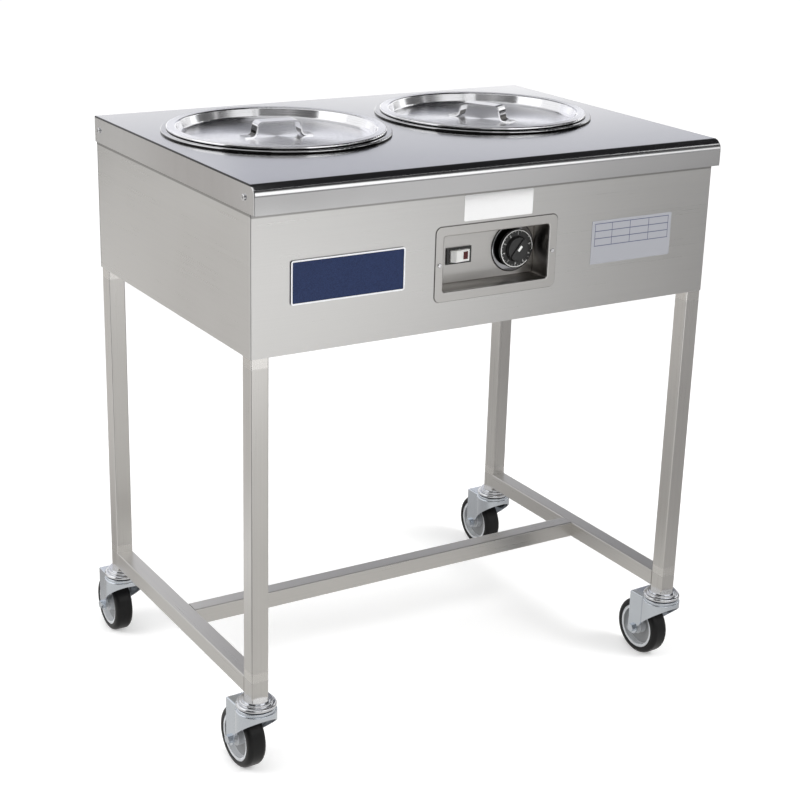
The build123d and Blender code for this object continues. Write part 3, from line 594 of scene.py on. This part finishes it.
outline = cabinet_steel.from_outline(pan_middle, *bezel_size, bezel_radius)
# Painted shade: a fine dark line round the bezel and under the deck's turned-down edges.
gap = outline.band(-0.0005, 0.0009, 0.0005)
upper = cabinet_steel.z.rise(pan_middle[1] + 0.045, pan_middle[1] + 0.055)
left = 1 - cabinet_steel.x.rise(pan_box[0].x - 0.001, pan_box[0].x + 0.012)
on_side = cabinet_steel.y.rise(sheet_y + 0.0005, sheet_y + 0.001)
round_bezel = gap * upper.larger(left) * (1 - on_side)
under_deck = (cabinet_steel.z - on_side * side_drop - deck_low.z).rise(-0.0080, -0.0062)
painted_shade = (round_bezel * bezel_shade).larger(under_deck * deck_shade)
shaded_cabinet = cabinet_steel.mix(painted_shade, cabinet_steel.base, rgb(0.12, 0.115, 0.11))
cabinet_steel.surface(Base_Color=shaded_cabinet)

fold_x, fold_z = deck_high.x - fold_width, deck_high.z - fold_depth
# The side folds are painted dark: a painted reflection in the bend.
painted_fold_reflection = abs(deck_steel.x).rise(fold_x - fold_soft, fold_x)
painted_fold_reflection = painted_fold_reflection * deck_steel.z.rise(fold_z - fold_soft, fold_z)
deck_steel.surface(Base_Color=deck_steel.mix(painted_fold_reflection, deck_steel.base, grey(0.03)))
print("deck", [round(v, 4) for v in (*deck_low, *deck_high)])

# %% [markdown]
# The lids and pots are spun on a lathe, so their grain runs in rings. Rings are a sine of the
# distance from the axis, with the spacing broken up by noise. Anisotropy then gives the bright fans
# that run out from the middle. A lid's flat middle is left as turned, and its wall and rim are
# polished, so the roughness falls beyond a radius. Lids and pots both end in a curled rim, and a
# line of painted shade lies along the foot of that curl.

# %% Spun steel
fine_rings, broad_rings = 5200.0, 640.0
curl_height = 0.0045
curl_reach = 0.0024
shade_soft = 0.0006


def spun(name, node, colour, rough, anisotropy, shade_height, turned_to=0.0, turned_rough=0.0):
    """Spun steel about a node's own axis; it is rougher as far out as turned_to."""
    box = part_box(node)
    finish = Finish(name)
    distance = finish.from_axis(finish.x, finish.y, middle_of(box, "xy"))
    wander = finish.noise(40.0, 2.0)
    rings = (distance * fine_rings + wander * 5.0).sine() * 0.5 + 0.5
    broad = (distance * broad_rings + wander * 9.0).sine() * 0.5 + 0.5
    clouds = finish.noise(9.0, 3.0)
    tone = rings * 0.4 + broad * 0.3 + clouds * 0.3
    paint = finish.mix(tone, scaled(colour, 0.92), scaled(colour, 1.06))
    curl = size_of(box, "x")[0] / 2 - curl_reach
    height = finish.z - (box[1].z - curl_height)
    # Shade is painted dark along the foot of each curl.
    painted_shade = 1 - height.rise(shade_height, shade_height + shade_soft)
    painted_shade = painted_shade * distance.rise(curl - shade_soft, curl)
    as_turned = 1 - distance.rise(turned_to - 0.002, turned_to + 0.001)
    uneven = (rings - 0.5) * 0.05 + (clouds - 0.5) * 0.05
    finish.surface(
        Base_Color=finish.mix(painted_shade, paint, grey(0.03)),
        Metallic=1.0,
        Roughness=rough + as_turned * (turned_rough - rough) + uneven,
        Normal=finish.bump(rings * 0.6 + broad * 0.4, 0.000012, 0.5),
        Anisotropic=anisotropy,
        Anisotropic_Rotation=0.25,
    )
    return finish


sides = ("left", "right")
lid_steel, pot_steel = {}, {}
for side in sides:
    lid_steel[side] = spun(
        f"lid_steel_{side}", f"lid_{side}", (0.93, 0.93, 0.95), rough=0.20, anisotropy=0.95,
        shade_height=0.0012, turned_to=0.150, turned_rough=0.25,
    )
    pot_steel[side] = spun(
        f"pot_steel_{side}", f"pot_{side}", (0.60, 0.60, 0.61), rough=0.10, anisotropy=0.3,
        shade_height=0.0022,
    )
print("spun finishes", [f.material.name for f in (*lid_steel.values(), *pot_steel.values())])

# %% [markdown]
# Small bright parts are chrome, zinc plate, brass and copper. Plating is never quite even: a fine
# noise breaks its gloss, and zinc has a faint blue passivated tint that drifts over the pressing.

# %% Plated metal
def plated(name, colour, second, rough, spread=0.08, scale=60.0, ripple=0.25):
    """Plated metal whose colour drifts between two; spread and ripple make its gloss uneven."""
    finish = Finish(name)
    drift = finish.noise(scale, 3.0)
    speck = finish.noise(scale * 14.0, 2.0)
    finish.base = finish.mix(drift, rgb(*colour), rgb(*second))
    finish.surface(
        Base_Color=finish.base,
        Metallic=1.0,
        Roughness=rough + (drift - 0.5) * spread + (speck - 0.5) * spread,
        Normal=finish.bump(speck * 0.4 + drift * 0.6, 0.00004, ripple),
    )
    return finish


screw_steel = plated("screw_steel", (0.74, 0.74, 0.75), (0.64, 0.64, 0.65), 0.20, scale=300.0)
dial_chrome = plated("dial_chrome", (0.30, 0.30, 0.31), (0.24, 0.24, 0.25), 0.08)
caster_chrome = plated(
    "caster_chrome", (0.76, 0.77, 0.79), (0.66, 0.67, 0.70), 0.14, ripple=0.04
)
caster_zinc = plated(
    "caster_zinc", (0.66, 0.70, 0.75), (0.60, 0.635, 0.685), 0.20, spread=0.04, scale=30.0
)
zinc_plate = plated("zinc_plate", (0.66, 0.67, 0.66), (0.58, 0.58, 0.52), 0.36)
shaft_brass = plated("shaft_brass", (0.78, 0.60, 0.30), (0.68, 0.50, 0.22), 0.25)
bulb_copper = plated("bulb_copper", (0.78, 0.45, 0.30), (0.62, 0.33, 0.20), 0.30)
element_sheath = plated(
    "element_sheath", (0.30, 0.28, 0.26), (0.20, 0.17, 0.16), 0.45, scale=30.0
)
print("plated finishes ready")

# %% [markdown]
# A lid's handle is a polished strap, welded on by its feet. A dark band, a painted reflection, lies
# on the broad faces of its legs, just above the feet, and is told apart by its height above the
# lid.
# It stops short of the strap's thin edges, so the finish has to know how each handle is turned.

# %% Handles
handle_turn = {"left": -6.0, "right": -61.0}
strap_width = 0.024
edge_bright, edge_soft = 0.0004, 0.0006
reflection_heights = (0.0030, 0.0105)
reflection_soft = 0.0012


def polished_strap(name):
    return plated(name, (0.80, 0.80, 0.81), (0.72, 0.72, 0.74), 0.12, ripple=0.06)


handle_chrome = polished_strap("handle_chrome")
strap_chrome = {}
for side in sides:
    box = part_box(f"lid_handle_{side}")
    middle = middle_of(box, "xy")
    turn = math.radians(handle_turn[side])
    finish = polished_strap(f"strap_chrome_{side}")
    across = (finish.y - middle[1]) * math.cos(turn) - (finish.x - middle[0]) * math.sin(turn)
    broad_to = strap_width / 2 - edge_bright
    broad = 1 - abs(across).rise(broad_to - edge_soft, broad_to)
    # The dark band on the legs' broad faces is a painted reflection.
    tint = (finish.z - box[0].z).band(*reflection_heights, reflection_soft) * broad
    finish.surface(Base_Color=finish.mix(tint, finish.base, rgb(0.06, 0.058, 0.055)))
    strap_chrome[side] = finish
print("handles", list(strap_chrome))

# %% [markdown]
# Plastics and rubber are not metal: their colour comes from inside, and a moulded skin breaks the
# gloss. The same recipe gives the black switch frame, the white rocker, the dial, the hubs and the
# tyres.

# %% Plastic and rubber
skin_roughness, cloud_roughness = 0.1, 0.06


def moulded(name, colour, second, rough, grain=1800.0, grain_depth=0.00003, specular=0.5):
    """Plastic or rubber whose colour drifts between two, with a fine grain in its skin."""
    finish = Finish(name)
    skin = finish.noise(grain, 2.0)
    clouds = finish.noise(25.0, 3.0)
    uneven = (skin - 0.5) * skin_roughness + (clouds - 0.5) * cloud_roughness
    finish.surface(
        Base_Color=finish.mix(clouds * 0.7 + skin * 0.3, rgb(*colour), rgb(*second)),
        Roughness=rough + uneven,
        Normal=finish.bump(skin, grain_depth, 0.35),
        Specular_IOR_Level=specular,
    )
    return finish


switch_black = moulded("switch_black", (0.016, 0.016, 0.016), (0.028, 0.028, 0.028), 0.30)
dial_black = moulded("dial_black", (0.012, 0.012, 0.012), (0.022, 0.022, 0.022), 0.32)
rocker_white = moulded("rocker_white", (0.86, 0.86, 0.84), (0.80, 0.80, 0.78), 0.28)
block_white = moulded("block_white", (0.80, 0.79, 0.72), (0.72, 0.70, 0.62), 0.45)
gland_black = moulded("gland_black", (0.025, 0.025, 0.026), (0.04, 0.04, 0.042), 0.45)
socket_black = moulded("socket_black", (0.03, 0.03, 0.03), (0.05, 0.05, 0.05), 0.5)
lead_red = moulded("lead_red", (0.36, 0.03, 0.03), (0.28, 0.02, 0.02), 0.5)
lens_red = moulded("lens_red", (0.09, 0.006, 0.008), (0.06, 0.004, 0.005), 0.14)
lens_red.surface(Coat_Weight=0.6, Coat_Roughness=0.05)
tyre_black = moulded(
    "tyre_black", (0.006, 0.006, 0.0065), (0.011, 0.011, 0.011), 0.34, grain=900.0, specular=0.22
)
print("moulded finishes ready")

# %% [markdown]
# A caster's hub is pressed: a light rim, a sunk web and a boss. The web is painted dark as shade in
# its recess. Its rings are told apart by their distance from the axle, so each hub needs a finish
# that knows where its own axle is.

# %% Hubs
corner_names = ("front_left", "front_right", "rear_left", "rear_right")
rim_grey, worn_grey = (0.66, 0.68, 0.70), (0.54, 0.55, 0.57)
web_shade_grey = (0.25, 0.255, 0.26)
web_radii, web_soft = (0.0150, 0.0335), 0.0008
hub_grey = {}
for corner in corner_names:
    axle = middle_of(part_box(f"caster_hub_{corner}"), "yz")
    finish = moulded(f"hub_grey_{corner}", rim_grey, worn_grey, 0.42, specular=0.6)
    # The sunk web is painted dark grey as shade in its recess.
    web = finish.from_axis(finish.y, finish.z, axle).band(*web_radii, web_soft)
    rim = finish.mix(finish.noise(120.0, 3.0), rgb(*rim_grey), rgb(*worn_grey))
    finish.surface(Base_Color=finish.mix(web, rim, rgb(*web_shade_grey)))
    hub_grey[corner] = finish
print("hubs", list(hub_grey))

# %% [markdown]
# Three flat plates lie on the front, without words. The first is a blue enamel plate, speckled,
# with shade painted dark along its cut edge and beside the raised border that is added further on.
# The second is a plain white film.

# %% Blue and white plates
plate_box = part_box("name_plate")
plate_middle = middle_of(plate_box, "xz")
plate_size = size_of(plate_box, "xz")
plate_front = plate_box[0].y
plate_radius = 0.004
border_width = 0.0024
enamel_dark, enamel_light = (0.005, 0.014, 0.056), (0.015, 0.032, 0.106)

plate_blue = moulded(
    "plate_blue", enamel_dark, enamel_light, 0.38, grain=1500.0, grain_depth=0.00015, specular=0.3
)
speckle = plate_blue.noise(1400.0, 2.0).rise(0.35, 0.65)
enamel = plate_blue.mix(speckle, rgb(*enamel_dark), rgb(*enamel_light))
outline = plate_blue.from_outline(plate_middle, *plate_size, plate_radius)
# Shade is painted dark beside the border and along the plate's cut edge.
by_border = outline.rise(-border_width - 0.0006, -border_width)
cut = plate_blue.y.rise(plate_front + 0.0002, plate_front + 0.0005)
edged = plate_blue.mix(by_border.larger(cut), enamel, rgb(0.004, 0.004, 0.006))
plate_blue.surface(Base_Color=edged)

plate_white = Finish("plate_white")
paper = plate_white.noise(700.0, 2.0)
plate_white.surface(
    Base_Color=plate_white.mix(paper, grey(0.88), grey(0.83)),
    Roughness=0.32 + paper * 0.1,
    Normal=plate_white.bump(paper, 0.00003, 0.3),
)
print("blue plate", [round(v, 4) for v in plate_size])

# %% [markdown]
# The third plate is foil with ruled boxes. The rules are drawn by comparing the position on the
# plate, from -1 to 1 between its edges, with numbers, so their edges stay sharp at any distance.

# %% Silver plate
side_rule = 0.92
row_heights = (0.86, 0.52, 0.18, -0.16)
column_places = (-0.5, -0.05, 0.42)
upright_rule, level_rule = (0.004, 0.009), (0.012, 0.024)

foil_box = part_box("rating_plate")
foil_middle = middle_of(foil_box, "xz")
foil_size = size_of(foil_box, "xz")
plate_silver = Finish("plate_silver")
across = (plate_silver.x - foil_middle[0]) / (foil_size[0] / 2)
up = (plate_silver.z - foil_middle[1]) / (foil_size[1] / 2)
rules = abs(across).line(side_rule, *upright_rule)
for height in row_heights:
    rules = rules.larger(up.line(height, *level_rule))
for place in column_places:
    rules = rules.larger(across.line(place, *upright_rule) * up.rise(-0.17, -0.15))
rules = rules * up.band(-0.17, 0.87, 0.02) * (1 - abs(across).rise(0.925, 0.93))
foil = plate_silver.noise(500.0, 2.0, (0.02, 1, 1))
plate_silver.surface(
    Base_Color=plate_silver.mix(rules, rgb(0.48, 0.49, 0.53), rgb(0.08, 0.09, 0.17)),
    Metallic=0.55 * (1 - rules),
    Roughness=0.34 + foil * 0.1,
    Normal=plate_silver.bump(foil, 0.00002, 0.3),
)
print("silver plate", [round(v, 4) for v in foil_size])

# %% [markdown]
# Each CAD node says in the record which slot its finish belongs to, so one table from slot to
# finish dresses nearly all of them. The tubes differ by the way they run. Lids, pots, handles and
# hubs have finishes that know their own place.

# %% Dress the CAD nodes
slot_finish = {
    "deck_steel": deck_steel, "cabinet_steel": cabinet_steel, "control_steel": control_steel,
    "tube_steel": leg_steel, "screw_steel": screw_steel, "element_sheath": element_sheath,
    "zinc_plate": zinc_plate, "switch_black": switch_black, "rocker_white": rocker_white,
    "lens_red": lens_red, "shaft_brass": shaft_brass, "dial_chrome": dial_chrome,
    "dial_black": dial_black, "bulb_copper": bulb_copper, "block_white": block_white,
    "lead_red": lead_red, "gland_black": gland_black, "plate_blue": plate_blue,
    "plate_silver": plate_silver, "plate_white": plate_white, "socket_black": socket_black,
    "caster_chrome": caster_chrome, "caster_zinc": caster_zinc, "tyre_black": tyre_black,
}
node_finish = {
    "stretcher_left": side_tube_steel,
    "stretcher_right": side_tube_steel,
    "stretcher_cross": front_tube_steel,
}
for corner in corner_names:
    node_finish[f"caster_hub_{corner}"] = hub_grey[corner]
for side in sides:
    node_finish[f"lid_{side}"] = lid_steel[side]
    node_finish[f"lid_handle_{side}"] = strap_chrome[side]
    node_finish[f"pot_{side}"] = pot_steel[side]
for subpart in frame["record"]["subparts"]:
    name = subpart["node"]
    finish = node_finish.get(name) or slot_finish[subpart["material_slot"]]
    nodes[name].data.materials.clear()
    nodes[name].data.materials.append(finish.material)

# %% [markdown]
# Some trim is too thin to be worth a solid in CAD, and is built here. A raised strip stands on a
# face that looks to the front: two outlines with the same number of points make its outer and inner
# edges. It is sunk a little into the face, so that no gap shows under it.

# %% Raised strips
sunk = 0.0001
same_plane = 1e-7
sharp_angle = 1.0


def rounded_outline(width, height, radius, steps=8):
    """Points round a rectangle with rounded corners, centred on zero."""
    points = []
    for turn, (across, up) in enumerate(((1, 1), (-1, 1), (-1, -1), (1, -1))):
        for step in range(steps + 1):
            angle = math.radians(90 * (turn + step / steps))
            points.append((
                across * (width / 2 - radius) + radius * math.cos(angle),
                up * (height / 2 - radius) + radius * math.sin(angle),
            ))
    return points


def raised_strip(tool, outer, inner, middle, face, rise, closed):
    """Adds a solid strip between two outlines, which stands rise in front of the face's Y."""
    base, front = face + sunk, face + sunk - (rise + sunk)
    sections = []
    for (a, b), (c, d) in zip(outer, inner):
        corners = ((a, b, base), (a, b, front), (c, d, front), (c, d, base))
        sections.append([tool.verts.new((middle[0] + u, y, middle[1] + v)) for u, v, y in corners])
    pairs = list(zip(sections, sections[1:]))
    if closed:
        pairs.append((sections[-1], sections[0]))
    else:
        tool.faces.new(sections[0])
        tool.faces.new(sections[-1][::-1])
    for first, second in pairs:
        for i in range(4):
            tool.faces.new((first[i], first[(i + 1) % 4], second[(i + 1) % 4], second[i]))
    bmesh.ops.recalc_face_normals(tool, faces=tool.faces)


def round_front_edges(tool, front, offset):
    """Bevels the sharp edges that lie in the plane Y = front."""
    edges = [
        edge for edge in tool.edges
        if all(abs(corner.co.y - front) < same_plane for corner in edge.verts)
        and edge.calc_face_angle(0.0) > sharp_angle
    ]
    bmesh.ops.bevel(
        tool, geom=edges, offset=offset, offset_type="OFFSET", affect="EDGES", segments=2,
        profile=0.5, material=-1,
    )


print("strip tools ready")

# %% [markdown]
# The blue plate has a silver border that stands a little above the enamel and is rounded over.

# %% Border of the blue plate
border_rise = 0.0006
border_round = 0.0002
tool = bmesh.new()
raised_strip(
    tool,
    rounded_outline(*plate_size, plate_radius),
    rounded_outline(*(s - 2 * border_width for s in plate_size), plate_radius - border_width),
    plate_middle, plate_front, border_rise, closed=True,
)
round_front_edges(tool, plate_front - border_rise, border_round)
border = piece_from("name_plate_border", tool, smooth=False)
border_silver = plated(
    "border_silver", (0.90, 0.91, 0.93), (0.82, 0.83, 0.86), 0.30, scale=200.0
)
border_silver.surface(Metallic=0.35)
border.data.materials.append(border_silver.material)
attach(border, "cabinet")
print("border", len(border.data.polygons), "faces")

# %% [markdown]
# The dial carries white marks: a ring with a gap, ticks, numbers and a bar on the grip that points
# at a number. All of them are placed by their angle about the dial's axis, so the first step is to
# turn an angle and a radius into a point.

# %% Ring and ticks of the dial
dial_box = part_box("dial_knob")
dial_middle = middle_of(dial_box, "xz")
grip_front = dial_box[0].y
disc_face = grip_front + 0.008
pointer_angle = 50.0
mark_rise = 0.0001
ring_radii, tick_radii = (0.0284, 0.0297), (0.0264, 0.0278)
ring_start, ring_sweep, ring_steps = -8, 323, 96
tick_count, tick_start, tick_step, half_tick = 28, 24, 12, 0.5


def round_dial(radius, degrees):
    return (radius * math.cos(math.radians(degrees)), radius * math.sin(math.radians(degrees)))


def dial_strip(tool, radii, angles):
    """A raised strip between two radii, through the given angles."""
    inner, outer = ([round_dial(radius, angle) for angle in angles] for radius in radii)
    raised_strip(tool, outer, inner, dial_middle, disc_face, mark_rise, closed=False)


marks_tool = bmesh.new()
ring_angles = [ring_start + ring_sweep * step / ring_steps for step in range(ring_steps + 1)]
dial_strip(marks_tool, ring_radii, ring_angles)
for number in range(tick_count):
    angle = pointer_angle + tick_start + tick_step * number
    dial_strip(marks_tool, tick_radii, [angle - half_tick, angle + half_tick])
print("ring and ticks", len(marks_tool.faces), "faces")

# %% [markdown]
# The numbers are text, which is turned into a mesh first and then moved to its place round the
# dial. The bar lies on the grip, which stands in front of the disc. All marks are one piece, which
# turns with the dial.

# %% Numbers and pointer of the dial
numeral_size, numeral_depth, numeral_radius = 0.0056, 0.0001, 0.0235
numeral_step = 36
bar_ends, bar_half_width = (-0.003, 0.0066), 0.0021

facing_front = Matrix.Translation((dial_middle[0], disc_face, dial_middle[1]))
facing_front = facing_front @ Matrix.Rotation(math.pi / 2, 4, "X")
for number in range(1, 10):
    curve = bpy.data.curves.new("numeral", "FONT")
    curve.body, curve.size, curve.extrude = str(number), numeral_size, numeral_depth
    curve.align_x = curve.align_y = "CENTER"
    text_object = linked("numeral", curve)
    numeral = bpy.data.meshes.new_from_object(text_object)
    turn = Matrix.Rotation(math.radians(pointer_angle - 90 + numeral_step * number), 4, "Z")
    numeral.transform(facing_front @ turn @ Matrix.Translation((0, numeral_radius, 0)))
    marks_tool.from_mesh(numeral)
    bpy.data.objects.remove(text_object)
    bpy.data.curves.remove(curve)
    bpy.data.meshes.remove(numeral)

along, across = round_dial(1.0, pointer_angle), round_dial(1.0, pointer_angle + 90)
bar = [
    [[end * along[i] + offset * across[i] for i in range(2)] for end in bar_ends]
    for offset in (bar_half_width, -bar_half_width)
]
raised_strip(marks_tool, *bar, dial_middle, grip_front, mark_rise, closed=False)
marks = piece_from("dial_marks", marks_tool, smooth=False)
marks.data.materials.append(rocker_white.material)
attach(marks, "dial")
print("dial marks", len(marks.data.polygons), "faces")

# %% [markdown]
# Each lid's handle is held by spot welds, which leave a shallow bump on its feet.

# %% Spot welds on the handles
foot_reach = (0.045, 0.053)
strap_thickness = 0.0025
weld_radius = 0.0019
weld_flattening = Matrix.Diagonal((1, 1, 0.28, 1))
for side in sides:
    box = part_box(f"lid_handle_{side}")
    middle = Vector((*middle_of(box, "xy"), box[0].z + strap_thickness))
    turn = math.radians(handle_turn[side])
    tool = bmesh.new()
    for reach in (*foot_reach, *(-r for r in foot_reach)):
        spot = middle + Vector((reach * math.cos(turn), reach * math.sin(turn), 0))
        place = Matrix.Translation(spot) @ weld_flattening
        bmesh.ops.create_uvsphere(
            tool, u_segments=20, v_segments=10, radius=weld_radius, matrix=place
        )
    welds = piece_from(f"lid_welds_{side}", tool)
    welds.data.materials.append(handle_chrome.material)
    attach(welds, f"{side}_lid")
print("spot welds on", len(sides), "handles")
